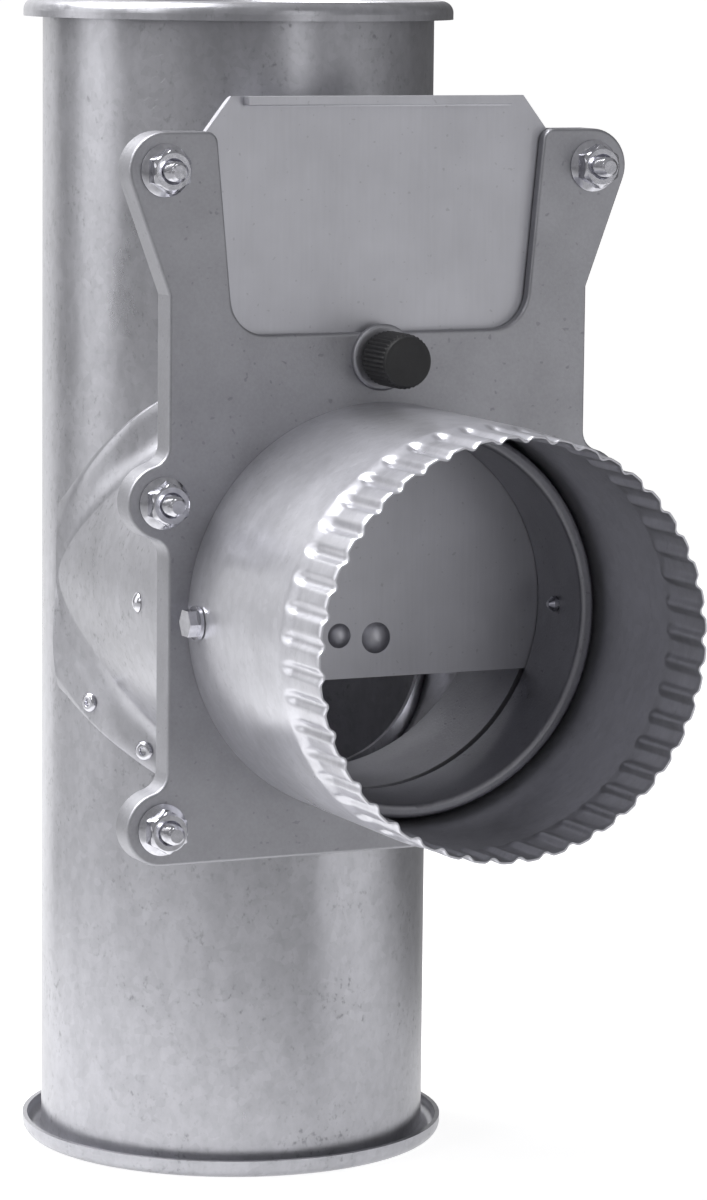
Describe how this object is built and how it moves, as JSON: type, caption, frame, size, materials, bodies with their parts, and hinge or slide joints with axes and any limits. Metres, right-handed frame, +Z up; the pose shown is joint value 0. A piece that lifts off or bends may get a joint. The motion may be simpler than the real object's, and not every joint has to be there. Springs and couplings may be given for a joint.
{
  "type": "gated tee fitting",
  "caption": "Metal duct tee with rolled lips on the main tube, a sliding blast gate with a fluted lock knob in the branch, and a crimped outlet sleeve.",
  "frame": {"origin": "centre of the main tube's lower end, on the plane that the lower rolled lip stands on", "axes": "+Z up the main tube, -Y out along the branch to the crimped end, +X to the right seen from the branch's mouth"},
  "size_m": [0.1334, 0.2218, 0.3],
  "materials": {
    "galvanised_steel": "galvanised, soft mottling",
    "gate_steel": "plain galvanised sheet, dull",
    "cast_aluminium": "matt casting",
    "zinc_hardware": "bright zinc plate",
    "black_plastic": "moulded, fine flutes"
  },
  "bodies": {
    "tee_body": {"main_tube": "galvanised_steel", "saddle_tap": "galvanised_steel", "crimped_sleeve": "galvanised_steel", "front_gate_half": "cast_aluminium", "rear_gate_half": "cast_aluminium", "saddle_rivets": "zinc_hardware", "tap_rivets": "zinc_hardware", "sleeve_screw_left": "zinc_hardware", "sleeve_screw_right": "zinc_hardware", "bolt_top_left": "zinc_hardware", "bolt_top_right": "zinc_hardware", "bolt_middle_left": "zinc_hardware", "bolt_middle_right": "zinc_hardware", "bolt_bottom_left": "zinc_hardware", "bolt_bottom_right": "zinc_hardware", "nut_top_left": "zinc_hardware", "nut_top_right": "zinc_hardware", "nut_middle_left": "zinc_hardware", "nut_middle_right": "zinc_hardware", "nut_bottom_left": "zinc_hardware", "nut_bottom_right": "zinc_hardware"},
    "gate": {"gate_slide": "gate_steel"},
    "lock_screw_body": {"lock_screw": "zinc_hardware"},
    "lock_knob_body": {"lock_knob": "black_plastic"}
  },
  "joints": [
    {"name": "gate_travel", "type": "slide", "parent": "tee_body", "child": "gate", "axis": [0, 0, 1], "range_m": [-0.0334, 0.0475]},
    {"name": "lock_travel", "type": "slide", "parent": "tee_body", "child": "lock_screw_body", "axis": [0, -1, 0], "range_m": [0, 0.0016]},
    {"name": "lock_turn", "type": "hinge", "parent": "lock_screw_body", "child": "lock_knob_body", "pos_m": [0, -0.0924, 0.2143], "axis": [0, -1, 0], "range_deg": [0, 720]}
  ],
  "couplings": [
    {"joint": "lock_turn", "follows": "lock_travel", "rad_per_m": 7853.9}
  ]
}
